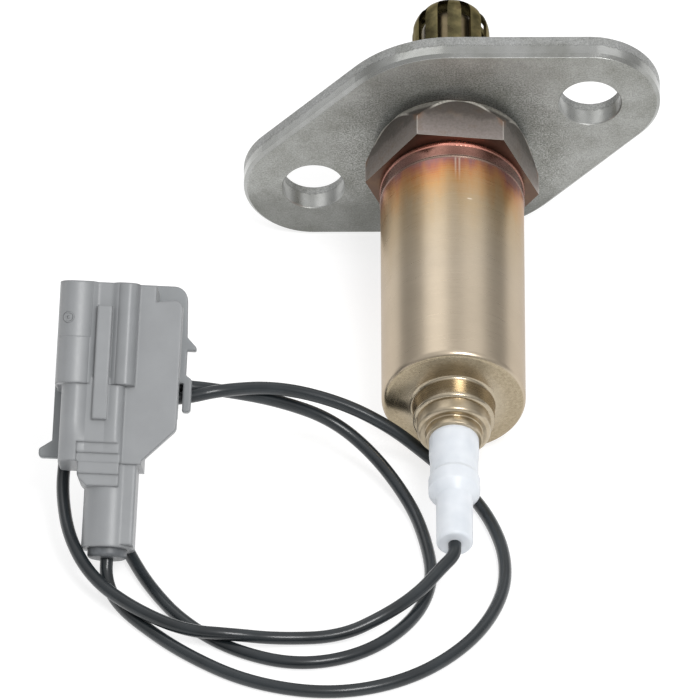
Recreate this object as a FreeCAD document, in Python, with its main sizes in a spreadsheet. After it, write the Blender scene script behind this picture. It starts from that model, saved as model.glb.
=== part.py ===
import FreeCAD, Part
import Sketcher
import math
import os
import re
from FreeCAD import Placement, Rotation, Vector

# Flanged single-wire oxygen sensor, lying on a flat surface.
#
# Row frame, millimetres: +Z up, the surface is z = 0, the sensor's wire end points to -Y and its
# tip to +Y. The sensor lies on one straight edge of its flange and on the rim of its cover, so
# its axis dips towards the wire end. The origin is under the middle of the sensor.
#
# Sensor frame: Z along the sensor's axis towards the wire end, with station 0 on the face of the
# flange that looks to the wire end. X is the row's X, and Y is the sensor's upper side.
# Connector frame: Z from the wire end to the mouth, X to the right of its front, Y to its back.

SIZES = {
    # Flange
    "flange_thick": 4.2,
    "flange_hub_radius": 19.1,
    "flange_ear_radius": 10.2,
    "flange_edge_bevel": 0.5,
    "bolt_offset": 22.0,
    "bolt_hole_radius": 4.5,
    "bolt_hole_bevel": 0.15,
    # Housing, outside
    "spigot_radius": 8.4,
    "spigot_length": 3.0,
    "spigot_bevel": 0.5,
    "press_radius": 8.8,
    "hex_foot_radius": 9.9,
    "hex_foot_height": 1.35,
    "hex_rim_gap": 0.15,
    "hex_cone_height": 3.7,
    "hex_across": 22.0,
    "hex_height": 8.55,
    "hex_corner_gap": 0.05,
    "collar_root": 10.1,
    "collar_length": 3.5,
    "collar_round": 0.7,
    "collar_bead_proud": 0.1,
    "collar_bead_length": 1.1,
    "weld_width": 0.5,
    "weld_proud": 0.12,
    # Housing, inside
    "bore_radius": 6.9,
    "throat_radius": 4.9,
    "seat_station": 1.6,
    "seat_rise": 1.6,
    "lip_radius": 6.2,
    "lip_thick": 1.2,
    "lip_bevel": 0.5,
    "nose_crimp_thick": 1.1,
    "crimp_gap": 0.1,
    # Packing in the housing
    "washer_thick": 0.5,
    "washer_gap": 0.1,
    "packing_height": 3.4,
    "ceramic_height": 4.0,
    "pressure_ring_height": 0.9,
    "pressure_ring_gap": 0.2,
    # Sensing element
    "element_radius": 3.3,
    "element_tip_radius": 2.6,
    "element_tip_station": 20.5,
    "element_neck_radius": 4.5,
    "element_shoulder": 2.6,
    "element_wall": 0.9,
    "element_bore": 2.9,
    "element_top": 12.6,
    # Protective covers
    "cap_radius": 5.65,
    "cap_wall": 0.5,
    "cap_end_station": 26.5,
    "cap_round": 4.8,
    "cap_lip": 0.6,
    "cap_lip_reach": 1.0,
    "cap_turn": -5.0,
    "slot_count": 10,
    "slot_width": 1.5,
    "slot_top": 25.0,
    "slot_length": 13.7,
    "inner_cap_radius": 4.4,
    "inner_cap_wall": 0.4,
    "inner_cap_end_station": 24.6,
    "inner_cap_round": 3.4,
    "inner_cap_lip": 0.5,
    "gas_hole_radius": 0.9,
    "gas_hole_station": 15.0,
    "gas_hole_count": 6,
    # Outer cover
    "tube_radius": 10.45,
    "tube_wall": 0.8,
    "tube_end_station": 50.8,
    "tube_rim_round": 0.9,
    "tube_end_rise": 0.5,
    "boss_radius": 5.95,
    "boss_wall": 0.6,
    "boss_root": 0.5,
    "boss_end_station": 54.75,
    "boss_round": 0.55,
    # Neck sleeve
    "sleeve_wall": 0.6,
    "sleeve_end_station": 56.9,
    "sleeve_round": 0.6,
    "sleeve_foot_station": 51.4,
    "lip_wall": 0.5,
    "lip_end_station": 58.4,
    # Lead bush
    "bush_radius": 3.62,
    "bush_waist_radius": 3.5,
    "bush_bulge_radius": 3.76,
    "bush_nose_radius": 2.66,
    "bush_waist_station": 61.4,
    "bush_waist_slope": 1.0,
    "bush_waist_round": 3.0,
    "bush_bulge_station": 66.2,
    "bush_bulge_slope": 0.6,
    "bush_bulge_round": 0.5,
    "bush_bulge_length": 2.3,
    "bush_cone_length": 1.5,
    "bush_cone_round": 0.4,
    "bush_end_station": 78.45,
    "bush_round": 0.5,
    # Contact parts
    "contact_wall": 0.4,
    "contact_depth": 5.0,
    "contact_disc_radius": 4.2,
    "contact_disc_thick": 0.6,
    "rod_radius": 1.1,
    "rod_top_station": 43.0,
    "crimp_radius": 1.5,
    "crimp_start_station": 38.0,
    "crimp_end_station": 50.6,
    "support_foot_radius": 4.3,
    "support_gap": 1.45,
    "support_round": 1.0,
    "support_foot_gap": 0.5,
    "support_end_station": 48.2,
    "support_bore": 1.8,
    "spring_gap": 1.05,
    "spring_hole": 3.2,
    "spring_thick": 0.5,
    "spring_rise": 1.3,
    # Lead
    "wire_radius": 0.95,
    "lead_start_run": 2.1,
    "lead_end_run": 2.0,
    "terminal_lap": 4.0,
    # Connector place
    "connector_x": -50.1,
    "connector_y": -52.05,
    "connector_z": 4.9,
    "connector_pitch": 43.1,
    "connector_turn": 4.47,
    # Connector barrel and seal
    "barrel_radius": 3.8,
    "barrel_rib_half": 3.3,
    "barrel_rib_start": 1.6,
    "barrel_rib_inset": 0.4,
    "shoulder_start": 8.7,
    "shoulder_step": 10.4,
    "shoulder_step_depth": 0.25,
    "shoulder_left": 4.75,
    "shoulder_right": 1.3,
    "shoulder_front": 4.25,
    "shoulder_waist": 9.9,
    "shoulder_round": 1.2,
    "seal_radius": 2.85,
    "seal_proud": 1.3,
    "seal_depth": 5.0,
    "seal_groove": 0.35,
    "seal_groove_share": 0.35,
    "seal_round": 0.5,
    # Connector body
    "body_start": 12.1,
    "body_left": 7.7,
    "body_right": 4.4,
    "body_front": 4.8,
    "body_back": 5.2,
    "body_lap": 1.0,
    "body_column_right": 1.5,
    "body_column_round": 1.1,
    "hood_start": 23.4,
    "hood_end": 38.3,
    "hood_left": 8.7,
    "hood_right": 5.3,
    "hood_front": 5.2,
    "hood_column_right": 2.9,
    "hood_column_round": 1.5,
    "column_round": 2.3,
    "back_round": 1.2,
    "valley_left": 3.9,
    "valley_right": 0.0,
    "valley_slope": 0.9,
    "valley_depth": 0.7,
    "valley_round": 1.2,
    "rib_left": 2.95,
    "rib_right": 0.85,
    "rib_low": 18.2,
    "rib_high": 34.8,
    "rib_front": 5.5,
    "rib_root": 3.9,
    "plate_right": 9.2,
    "plate_front": 3.6,
    "plate_thick": 1.4,
    "plate_lap": 1.5,
    "plate_foot": 3.9,
    "plate_top": 36.5,
    "plate_top_slope": 1.0,
    "plate_corner": 17.4,
    "plate_round": 1.2,
    "socket_radius": 4.0,
    "socket_depth": 12.0,
    "terminal_radius": 1.6,
    "terminal_start": 6.0,
    "terminal_bore": 1.2,
    "terminal_bore_depth": 14.0,
    "terminal_bore_round": 0.15,
    "tier_left": 5.0,
    "tier_right": 2.0,
    "tier_depth": 0.25,
    "tier_low": 13.4,
    "tier_high": 14.9,
    # Rear holder
    "holder_thick": 1.3,
    "holder_left": 9.2,
    "holder_right": 9.6,
    "holder_top": 39.7,
    "holder_top_right": 9.2,
    "holder_round": 2.0,
    "holder_low_left": 3.0,
    "holder_cut": 20.5,
    "barb_reach": 1.85,
    "left_barb_base": 13.9,
    "left_barb_height": 2.5,
    "right_barb_base": 30.4,
    "right_barb_height": 1.9,
    "right_barb_reach": 1.3,
    "barb_lap": 0.5,
    "tab_left": 9.3,
    "tab_right": 10.5,
    "tab_low": 21.4,
    "tab_high": 26.2,
    "tab_slot": 0.6,
    "tab_round": 0.55,
    "hook_left": 2.0,
    "hook_right": 7.6,
    "hook_gap": 2.4,
    "hook_thick": 1.3,
    "hook_low": 20.5,
    "hook_high": 28.2,
    "hook_round": 1.0,
}

# The lead's route between the two exits, chosen by hand. The first and last points come from
# the bush and the connector seal.
LEAD_ROUTE = [
    (-1.1, -56.55, 4.75),
    (-4.2, -60.05, 3.4),
    (-9.4, -64.65, 2.9),
    (-16.6, -68.15, 1),
    (-25.6, -68.95, 1.1),
    (-32, -70.15, 2.95),
    (-39.2, -69.25, 2.98),
    (-46.8, -63.95, 3),
    (-52.6, -57.55, 3.6),
    (-56, -50.35, 5.5),
    (-57, -41.35, 6.8),
    (-56.6, -35.75, 8.8),
    (-55.7, -31.65, 13.2),
    (-52.7, -28.75, 16),
    (-47.7, -28.15, 16.9),
    (-38.9, -28.7, 16.65),
    (-33.6, -27.35, 14.8),
    (-25.6, -25.85, 11.9),
    (-17.6, -25.15, 8.6),
    (-11.6, -29.35, 4.3),
    (-6.6, -36.75, 1.2),
    (-4, -45.55, 0.95),
    (-2.9, -54.55, 0.95),
    (-5.6, -63.75, 0.95),
    (-13, -71.85, 0.95),
    (-22.6, -74.95, 0.95),
    (-32.2, -71.15, 0.95),
    (-39.4, -64.35, 0.95),
    (-43.9, -56.55, 0.95),
    (-46.6, -49.35, 0.95),
    (-48.5, -43.15, 1.3),
    (-50.2, -38.75, 5.2),
    (-50.6, -35.35, 9.8),
    (-50, -32.45, 12.7),
    (-47.6, -30.65, 14.6),
    (-43.8, -30.15, 15.4),
    (-39, -30.55, 15.3),
    (-33.6, -29.55, 16.6),
    (-25.4, -25.65, 14.3),
    (-16.6, -25.15, 11.7),
    (-9.4, -26.55, 7.6),
    (-3.6, -27.75, 2.9),
    (1.2, -31.95, 1),
    (5.2, -39.75, 0.95),
    (7.6, -49.15, 0.95),
    (7.2, -58.75, 0.95),
    (2.2, -69.15, 0.95),
    (-6.6, -77.55, 0.95),
    (-17.8, -81.85, 0.95),
    (-29.6, -79.75, 0.95),
    (-39.2, -73.15, 0.95),
    (-46.3, -64.65, 0.95),
    (-48.7, -59.45, 0.95),
    (-49.85, -56.55, 1.5),
]

doc = FreeCAD.newDocument("oxygen_sensor")
sheet = doc.addObject("Spreadsheet::Sheet", "Sizes")
for row, (alias, amount) in enumerate(SIZES.items(), start=1):
    sheet.set(f"A{row}", alias)
    sheet.set(f"B{row}", str(amount))
    sheet.setAlias(f"B{row}", alias)
doc.recompute()


def bound(text):
    """The expression with each size's name written as a cell of the sheet."""
    return re.sub(r"[a-z_]{3,}", lambda found: "Sizes." + found.group(0)
                  if found.group(0) in SIZES else found.group(0), str(text))


def amount(text):
    """The expression's value in millimetres or degrees."""
    result = sheet.evalExpression(bound(text))
    return float(getattr(result, "Value", result))


# Sketches, pads and turned bodies

def new_body(name):
    body = doc.addObject("PartDesign::Body", name)
    body.Label = name
    return body


def new_sketch(body, name, role, offset="0"):
    """A sketch on one of the body's own origin planes, moved along its normal."""
    sketch = body.newObject("Sketcher::SketchObject", name)
    plane = next(feature for feature in body.Origin.OriginFeatures if feature.Role == role)
    sketch.AttachmentSupport = (plane, [""])
    sketch.MapMode = "FlatFace"
    if offset != "0":
        sketch.setExpression("AttachmentOffset.Base.z", bound(offset))
    return sketch


def pin_point(sketch, geometry, end, across, along):
    """Ties a point of the sketch to its two sizes."""
    for kind, axis, text in (("DistanceX", -2, across), ("DistanceY", -1, along)):
        if str(text) == "0":
            sketch.addConstraint(Sketcher.Constraint("PointOnObject", geometry, end, axis))
            continue
        index = sketch.addConstraint(
            Sketcher.Constraint(kind, -1, 1, geometry, end, amount(text)))
        sketch.setExpression(f"Constraints[{index}]", bound(text))


def add_outline(sketch, corners):
    """A closed outline of straight edges. A corner is (across, along) or, with a round,
    (across, along, radius), all in terms of the sheet."""
    points = [Vector(amount(corner[0]), amount(corner[1]), 0) for corner in corners]
    count = len(points)
    cuts = []
    arcs = []
    for i, corner in enumerate(corners):
        here = points[i]
        to_last = (points[i - 1] - here).normalize()
        to_next = (points[(i + 1) % count] - here).normalize()
        if len(corner) < 3:
            cuts.append((here, here))
            arcs.append(None)
            continue
        radius = amount(corner[2])
        half = to_last.getAngle(to_next) / 2
        reach = radius / math.tan(half)
        start = here + to_last * reach
        end = here + to_next * reach
        centre = here + (to_last + to_next).normalize() * (radius / math.sin(half))
        cuts.append((start, end))
        turns_left = (to_last.cross(to_next)).z < 0
        arcs.append((centre, radius, start, end, turns_left))
    lines = []
    for i in range(count):
        line = Part.LineSegment(cuts[i][1], cuts[(i + 1) % count][0])
        lines.append(sketch.addGeometry(line, False))
    for i, corner in enumerate(corners):
        before = lines[i - 1]
        after = lines[i]
        if arcs[i] is None:
            sketch.addConstraint(Sketcher.Constraint("Coincident", before, 2, after, 1))
            pin_point(sketch, after, 1, corner[0], corner[1])
            continue
        centre, radius, start, end, turns_left = arcs[i]
        first, last = (start, end) if turns_left else (end, start)
        first_angle = math.atan2(first.y - centre.y, first.x - centre.x)
        last_angle = math.atan2(last.y - centre.y, last.x - centre.x)
        circle = Part.Circle(centre, Vector(0, 0, 1), radius)
        arc = sketch.addGeometry(Part.ArcOfCircle(circle, first_angle, last_angle), False)
        sketch.addConstraint(Sketcher.Constraint("Tangent", before, 2, arc, 1 if turns_left else 2))
        sketch.addConstraint(Sketcher.Constraint("Tangent", after, 1, arc, 2 if turns_left else 1))
        index = sketch.addConstraint(Sketcher.Constraint("Radius", arc, radius))
        sketch.setExpression(f"Constraints[{index}]", bound(corner[2]))
        point = sketch.addGeometry(Part.Point(points[i]), True)
        sketch.addConstraint(Sketcher.Constraint("PointOnObject", point, 1, before))
        sketch.addConstraint(Sketcher.Constraint("PointOnObject", point, 1, after))
        pin_point(sketch, point, 1, corner[0], corner[1])


def add_circle(sketch, radius, across="0", along="0"):
    centre = Vector(amount(across), amount(along), 0)
    circle = sketch.addGeometry(Part.Circle(centre, Vector(0, 0, 1), amount(radius)), False)
    index = sketch.addConstraint(Sketcher.Constraint("Radius", circle, amount(radius)))
    sketch.setExpression(f"Constraints[{index}]", bound(radius))
    pin_point(sketch, circle, 3, across, along)


def turn(body, name, corners, groove=False):
    """Turns an outline of (radius, station) corners about the body's Z axis."""
    sketch = new_sketch(body, name + "_outline", "XZ_Plane")
    add_outline(sketch, corners)
    kind = "PartDesign::Groove" if groove else "PartDesign::Revolution"
    feature = body.newObject(kind, name)
    feature.Profile = sketch
    feature.ReferenceAxis = (sketch, ["V_Axis"])
    feature.Angle = 360
    sketch.Visibility = False
    return feature


def extrude(body, name, sketch, length, pocket=False, reverse=False):
    feature = body.newObject("PartDesign::Pocket" if pocket else "PartDesign::Pad", name)
    feature.Profile = sketch
    feature.setExpression("Length", bound(length))
    feature.Reversed = reverse
    return feature


def pad_up(body, name, corners, low, high):
    """A pad of an (x, y) outline between two heights along the body's Z."""
    sketch = new_sketch(body, name + "_outline", "XY_Plane", low)
    add_outline(sketch, corners)
    return extrude(body, name, sketch, f"{high} - ({low})")


def pad_forward(body, name, corners, back, front):
    """A pad of an (x, z) outline between two depths, each counted towards the front."""
    sketch = new_sketch(body, name + "_outline", "XZ_Plane", back)
    add_outline(sketch, corners)
    return extrude(body, name, sketch, f"{front} - ({back})")


def pocket_down(body, name, corners, high, low):
    """Cuts an (x, y) outline between two heights along the body's Z."""
    sketch = new_sketch(body, name + "_outline", "XY_Plane", high)
    add_outline(sketch, corners)
    return extrude(body, name, sketch, f"{high} - ({low})", pocket=True)


def bore_down(body, name, radius, high, low):
    """Cuts a round hole on the body's Z axis between two heights."""
    sketch = new_sketch(body, name + "_outline", "XY_Plane", high)
    add_circle(sketch, radius)
    return extrude(body, name, sketch, f"{high} - ({low})", pocket=True)


def edges_of(feature, chosen):
    """Names of the feature's edges for which the test holds."""
    return [f"Edge{index}" for index, edge in enumerate(feature.Shape.Edges, start=1)
            if chosen(edge)]


def bevel(body, name, feature, edges, width):
    cut = body.newObject("PartDesign::Chamfer", name)
    cut.Base = (feature, edges)
    cut.setExpression("Size", bound(width))
    return cut


def cut_check(feature, before):
    """A cut that points away from the solid takes nothing off and raises no error."""
    doc.recompute()
    if not feature.Shape.Volume < before - 1e-6:
        raise RuntimeError(f"{feature.Label} cuts nothing")


# Sensor, outside

def flange_angle():
    """Turn of the flange's long axis that brings one straight edge level."""
    return math.degrees(math.asin(amount("(flange_hub_radius - flange_ear_radius) / bolt_offset")))


def make_flange():
    body = new_body("flange")
    sketch = new_sketch(body, "flange_outline", "XY_Plane")
    hub = amount("flange_hub_radius")
    ear = amount("flange_ear_radius")
    offset = amount("bolt_offset")
    lean = math.acos((hub - ear) / offset)
    up = Vector(0, 0, 1)

    def arc(centre, radius, first, last):
        return sketch.addGeometry(
            Part.ArcOfCircle(Part.Circle(centre, up, radius), first, last), False)

    def edge(first_centre, first_radius, second_centre, second_radius, angle):
        normal = Vector(math.cos(angle), math.sin(angle), 0)
        start = first_centre + normal * first_radius
        end = second_centre + normal * second_radius
        return sketch.addGeometry(Part.LineSegment(start, end), False)

    middle = Vector(0, 0, 0)
    right = Vector(offset, 0, 0)
    left = Vector(-offset, 0, 0)
    right_ear = arc(right, ear, -lean, lean)
    upper_right = edge(right, ear, middle, hub, lean)
    upper_hub = arc(middle, hub, lean, math.pi - lean)
    upper_left = edge(middle, hub, left, ear, math.pi - lean)
    left_ear = arc(left, ear, math.pi - lean, math.pi + lean)
    lower_left = edge(left, ear, middle, hub, math.pi + lean)
    lower_hub = arc(middle, hub, math.pi + lean, 2 * math.pi - lean)
    lower_right = edge(middle, hub, right, ear, 2 * math.pi - lean)
    ring = [right_ear, upper_right, upper_hub, upper_left, left_ear, lower_left, lower_hub,
            lower_right]
    for before, after in zip(ring, ring[1:] + ring[:1]):
        sketch.addConstraint(Sketcher.Constraint("Tangent", before, 2, after, 1))
    for piece, radius in ((right_ear, "flange_ear_radius"), (left_ear, "flange_ear_radius"),
                          (upper_hub, "flange_hub_radius"), (lower_hub, "flange_hub_radius")):
        index = sketch.addConstraint(Sketcher.Constraint("Radius", piece, amount(radius)))
        sketch.setExpression(f"Constraints[{index}]", bound(radius))
    pin_point(sketch, upper_hub, 3, "0", "0")
    pin_point(sketch, lower_hub, 3, "0", "0")
    pin_point(sketch, right_ear, 3, "bolt_offset", "0")
    pin_point(sketch, left_ear, 3, "-bolt_offset", "0")
    add_circle(sketch, "press_radius")
    add_circle(sketch, "bolt_hole_radius", "bolt_offset")
    add_circle(sketch, "bolt_hole_radius", "-bolt_offset")
    plate = extrude(body, "flange_plate", sketch, "flange_thick", reverse=True)
    doc.recompute()
    hole = amount("bolt_hole_radius")

    def on_outline(edge_shape):
        box = edge_shape.BoundBox
        if box.ZLength > 1e-6:
            return False
        curve = edge_shape.Curve
        inner = hasattr(curve, "Radius") and (
            abs(curve.Radius - amount("press_radius")) < 1e-6 or abs(curve.Radius - hole) < 1e-6)
        return not inner

    def on_hole(edge_shape):
        curve = edge_shape.Curve
        return (edge_shape.BoundBox.ZLength < 1e-6 and hasattr(curve, "Radius")
                and abs(curve.Radius - hole) < 1e-6)

    outer = bevel(body, "flange_edges", plate, edges_of(plate, on_outline), "flange_edge_bevel")
    doc.recompute()
    bevel(body, "flange_hole_edges", outer, edges_of(outer, on_hole), "bolt_hole_bevel")
    return body


def make_housing():
    body = new_body("housing")
    nose_end = "-flange_thick - spigot_length"
    crimp_top = f"{nose_end} + nose_crimp_thick"
    recess_top = f"{crimp_top} + cap_lip + inner_cap_lip"
    recess_radius = "cap_radius + cap_lip_reach"
    crimp_hole = "cap_radius + crimp_gap"
    corner_radius = "hex_across / 2 / cos(30 deg) + hex_corner_gap"
    rim_radius = "hex_across / 2 + hex_rim_gap"
    bead_radius = "tube_radius + collar_bead_proud"
    bead_end = "hex_height + collar_bead_length"
    collar_end = "hex_height + collar_length"
    inner_lip = "seat_station + seat_rise + washer_thick + element_shoulder + packing_height" \
        " + ceramic_height + pressure_ring_height"
    turn(body, "housing_turned", [
        (crimp_hole, nose_end),
        ("spigot_radius - spigot_bevel", nose_end),
        ("spigot_radius", f"{nose_end} + spigot_bevel"),
        ("spigot_radius", "-flange_thick"),
        ("press_radius", "-flange_thick"),
        ("press_radius", "0"),
        ("hex_foot_radius", "0"),
        ("hex_foot_radius", "hex_foot_height"),
        (rim_radius, "hex_foot_height"),
        (corner_radius, "hex_foot_height + hex_cone_height"),
        (corner_radius, "hex_height"),
        ("collar_root", "hex_height"),
        (bead_radius, "hex_height + collar_round", "collar_round / 2"),
        (bead_radius, bead_end, "collar_round / 3"),
        ("tube_radius", f"{bead_end} + collar_bead_proud"),
        ("tube_radius", f"{collar_end} - weld_width"),
        ("tube_radius + weld_proud", f"{collar_end} - weld_width / 2", "weld_width / 4"),
        ("tube_radius", collar_end),
        ("tube_radius - tube_wall", collar_end),
        ("tube_radius - tube_wall", f"{inner_lip} + lip_thick", "lip_bevel"),
        ("lip_radius", f"{inner_lip} + lip_thick"),
        ("lip_radius", inner_lip),
        ("bore_radius", inner_lip),
        ("bore_radius", "seat_station + seat_rise"),
        ("throat_radius", "seat_station"),
        ("throat_radius", recess_top),
        (recess_radius, recess_top),
        (recess_radius, crimp_top),
        (crimp_hole, crimp_top),
    ])
    doc.recompute()
    before = body.Shape.Volume
    sketch = new_sketch(body, "hexagon_outline", "XY_Plane")
    add_circle(sketch, "hex_across")
    flat = "hex_across / 2"
    side = "hex_across / 2 * tan(30 deg)"
    add_outline(sketch, [
        (flat, f"-{side}"),
        (flat, side),
        ("0", "hex_across / 2 / cos(30 deg)"),
        (f"-{flat}", side),
        (f"-{flat}", f"-{side}"),
        ("0", "-hex_across / 2 / cos(30 deg)"),
    ])
    cut_check(extrude(body, "hexagon", sketch, "hex_height", pocket=True, reverse=True), before)
    return body


def make_outer_cover():
    body = new_body("outer_cover")
    start = "hex_height + collar_length"
    inner_radius = "tube_radius - tube_wall"
    end_inside = "tube_end_station - tube_wall"
    boss_inner = "boss_radius - boss_wall"
    boss_root = "tube_end_station + tube_end_rise"
    turn(body, "cover_drawn", [
        (inner_radius, start),
        ("tube_radius", start),
        ("tube_radius", "tube_end_station", "tube_rim_round"),
        ("boss_radius", boss_root, "boss_root"),
        ("boss_radius", "boss_end_station", "boss_round"),
        (boss_inner, "boss_end_station"),
        (boss_inner, f"{end_inside} + tube_end_rise"),
        (inner_radius, end_inside, "tube_rim_round / 3"),
    ])
    return body


def make_neck_sleeve():
    body = new_body("neck_sleeve")
    outer = "boss_radius - boss_wall"
    inner = "boss_radius - boss_wall - sleeve_wall"
    under = "sleeve_end_station - sleeve_wall"
    turn(body, "sleeve_pressed", [
        (inner, "sleeve_foot_station"),
        (outer, "sleeve_foot_station"),
        (outer, "sleeve_end_station", "sleeve_round"),
        ("bush_radius + lip_wall", "sleeve_end_station", "sleeve_wall / 4"),
        ("bush_radius + lip_wall", "lip_end_station", "lip_wall / 3"),
        ("bush_radius", "lip_end_station"),
        ("bush_radius", under),
        (inner, under),
    ])
    return body


def make_lead_bush():
    body = new_body("lead_bush")
    head_radius = "boss_radius - boss_wall - sleeve_wall"
    under = "sleeve_end_station - sleeve_wall"
    cone_start = "bush_bulge_station + bush_bulge_length"
    cone_end = "bush_bulge_station + bush_bulge_length + bush_cone_length"
    turn(body, "bush_turned", [
        ("wire_radius", "sleeve_foot_station"),
        (head_radius, "sleeve_foot_station"),
        (head_radius, under),
        ("bush_radius", under),
        ("bush_radius", "bush_waist_station", "bush_waist_round"),
        ("bush_waist_radius", "bush_waist_station + bush_waist_slope", "bush_waist_round"),
        ("bush_waist_radius", "bush_bulge_station - bush_bulge_slope", "bush_bulge_round"),
        ("bush_bulge_radius", "bush_bulge_station", "bush_bulge_round"),
        ("bush_bulge_radius", cone_start, "bush_bulge_round"),
        ("bush_nose_radius", cone_end, "bush_cone_round"),
        ("bush_nose_radius", "bush_end_station", "bush_round"),
        ("wire_radius", "bush_end_station"),
    ])
    return body


# Tip covers

def make_cap(name, radius, wall, end, lip_low, lip_high, round_radius):
    """A drawn cup over the tip, with an outward lip that the nose holds."""
    body = new_body(name)
    turn(body, name + "_drawn", [
        ("0", f"-{end}"),
        (radius, f"-{end}", round_radius),
        (radius, lip_low),
        ("cap_radius + cap_lip_reach", lip_low),
        ("cap_radius + cap_lip_reach", lip_high),
        (f"{radius} - {wall}", lip_high),
        (f"{radius} - {wall}", f"-{end} + {wall}", f"{round_radius} - {wall}"),
        ("0", f"-{end} + {wall}"),
    ])
    doc.recompute()
    return body


def make_protective_cover():
    lip_low = "-flange_thick - spigot_length + nose_crimp_thick"
    body = make_cap("protective_cover", "cap_radius", "cap_wall", "cap_end_station",
                    lip_low, f"{lip_low} + cap_lip", "cap_round")
    before = body.Shape.Volume
    sketch = new_sketch(body, "slot_outline", "YZ_Plane")
    half = "slot_width / 2"
    add_outline(sketch, [
        (f"-{half}", "-slot_top"),
        (half, "-slot_top"),
        (half, "slot_length - slot_top"),
        (f"-{half}", "slot_length - slot_top"),
    ])
    slot = extrude(body, "first_slot", sketch, "cap_radius + cap_wall", pocket=True, reverse=True)
    cut_check(slot, before)
    repeat_round(body, "slots", slot, "slot_count")
    return body


def repeat_round(body, name, feature, count):
    """Repeats a feature evenly about the body's Z axis."""
    pattern = body.newObject("PartDesign::PolarPattern", name)
    pattern.Originals = [feature]
    axis = next(item for item in body.Origin.OriginFeatures if item.Role == "Z_Axis")
    pattern.Axis = (axis, [""])
    pattern.Angle = 360
    pattern.setExpression("Occurrences", bound(count))
    body.Tip = pattern
    return pattern


def make_inner_cover():
    lip_low = "-flange_thick - spigot_length + nose_crimp_thick + cap_lip"
    body = make_cap("inner_cover", "inner_cap_radius", "inner_cap_wall", "inner_cap_end_station",
                    lip_low, f"{lip_low} + inner_cap_lip", "inner_cap_round")
    before = body.Shape.Volume
    sketch = new_sketch(body, "gas_hole_outline", "YZ_Plane")
    add_circle(sketch, "gas_hole_radius", "0", "-gas_hole_station")
    hole = extrude(body, "first_gas_hole", sketch, "inner_cap_radius + inner_cap_wall",
                   pocket=True, reverse=True)
    cut_check(hole, before)
    repeat_round(body, "gas_holes", hole, "gas_hole_count")
    return body


# Stack inside the housing

SHOULDER_STATION = "seat_station + seat_rise + washer_thick"
PACKING_STATION = f"{SHOULDER_STATION} + element_shoulder"
CERAMIC_STATION = f"{PACKING_STATION} + packing_height"
RING_STATION = f"{CERAMIC_STATION} + ceramic_height"


def make_sensing_element():
    body = new_body("sensing_element")
    shoulder = "bore_radius - washer_gap"
    slope = "seat_rise / (bore_radius - throat_radius)"
    seat_low = f"seat_station + washer_thick + (element_neck_radius - throat_radius) * {slope}"
    seat_high = f"seat_station + washer_thick + ({shoulder} - throat_radius) * {slope}"
    inner_tip = "element_tip_radius - element_wall"
    turn(body, "element_pressed", [
        ("0", "-element_tip_station"),
        ("element_tip_radius", "-element_tip_station", "element_tip_radius * 0.95"),
        ("element_radius", "0"),
        ("element_neck_radius", seat_low),
        (shoulder, seat_high),
        (shoulder, PACKING_STATION),
        ("element_neck_radius", PACKING_STATION),
        ("element_neck_radius", "element_top"),
        ("element_bore", "element_top"),
        ("element_bore", "element_top - contact_depth - 1"),
        (inner_tip, "element_top - contact_depth - 3"),
        (inner_tip, "element_wall - element_tip_station", f"({inner_tip}) * 0.9"),
        ("0", "element_wall - element_tip_station"),
    ])
    return body


def make_seat_washer():
    body = new_body("seat_washer")
    slope = "seat_rise / (bore_radius - throat_radius)"
    inner = "throat_radius + washer_gap"
    outer = "bore_radius - washer_gap"
    inner_low = f"seat_station + washer_gap * {slope}"
    outer_low = f"seat_station + seat_rise - washer_gap * {slope}"
    turn(body, "washer_pressed", [
        (inner, inner_low),
        (outer, outer_low),
        (outer, f"{outer_low} + washer_thick"),
        (inner, f"{inner_low} + washer_thick"),
    ])
    return body


def make_ring(name, inner, outer, low, high):
    body = new_body(name)
    turn(body, name + "_turned", [(inner, low), (outer, low), (outer, high), (inner, high)])
    return body


def make_stack():
    neck = "element_neck_radius"
    ring_hole = "element_neck_radius + pressure_ring_gap"
    ring_top = f"{RING_STATION} + pressure_ring_height"
    return [
        make_ring("talc_ring", neck, "bore_radius", PACKING_STATION, CERAMIC_STATION),
        make_ring("ceramic_ring", neck, "bore_radius", CERAMIC_STATION, RING_STATION),
        make_ring("pressure_ring", ring_hole, "bore_radius", RING_STATION, ring_top),
    ]


# Signal path inside the outer cover

def make_inner_contact():
    body = new_body("inner_contact")
    disc_top = "element_top + contact_disc_thick"
    turn(body, "contact_pressed", [
        ("element_bore - contact_wall", "element_top - contact_depth"),
        ("element_bore", "element_top - contact_depth"),
        ("element_bore", "element_top"),
        ("contact_disc_radius", "element_top"),
        ("contact_disc_radius", disc_top),
        ("0", disc_top),
        ("0", "element_top"),
        ("element_bore - contact_wall", "element_top"),
    ])
    return body


def make_contact_rod():
    body = new_body("contact_rod")
    turn(body, "rod_turned", [
        ("0", "element_top + contact_disc_thick"),
        ("rod_radius", "element_top + contact_disc_thick"),
        ("rod_radius", "rod_top_station"),
        ("0", "rod_top_station"),
    ])
    return body


def make_crimp_sleeve():
    body = new_body("crimp_sleeve")
    turn(body, "sleeve_drawn", [
        ("rod_radius", "crimp_start_station"),
        ("crimp_radius", "crimp_start_station"),
        ("crimp_radius", "crimp_end_station"),
        ("wire_radius", "crimp_end_station"),
        ("wire_radius", "rod_top_station"),
        ("rod_radius", "rod_top_station"),
    ])
    return body


def make_support_tube():
    body = new_body("support_tube")
    foot = "element_top + contact_disc_thick"
    step = f"{RING_STATION} + pressure_ring_height + lip_thick + support_foot_gap"
    outer = "tube_radius - tube_wall - support_gap"
    turn(body, "support_pressed", [
        ("support_bore", foot),
        ("support_foot_radius", foot),
        ("support_foot_radius", step),
        (outer, step, "support_round"),
        (outer, "support_end_station", "support_round"),
        ("support_bore", "support_end_station"),
    ])
    return body


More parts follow.
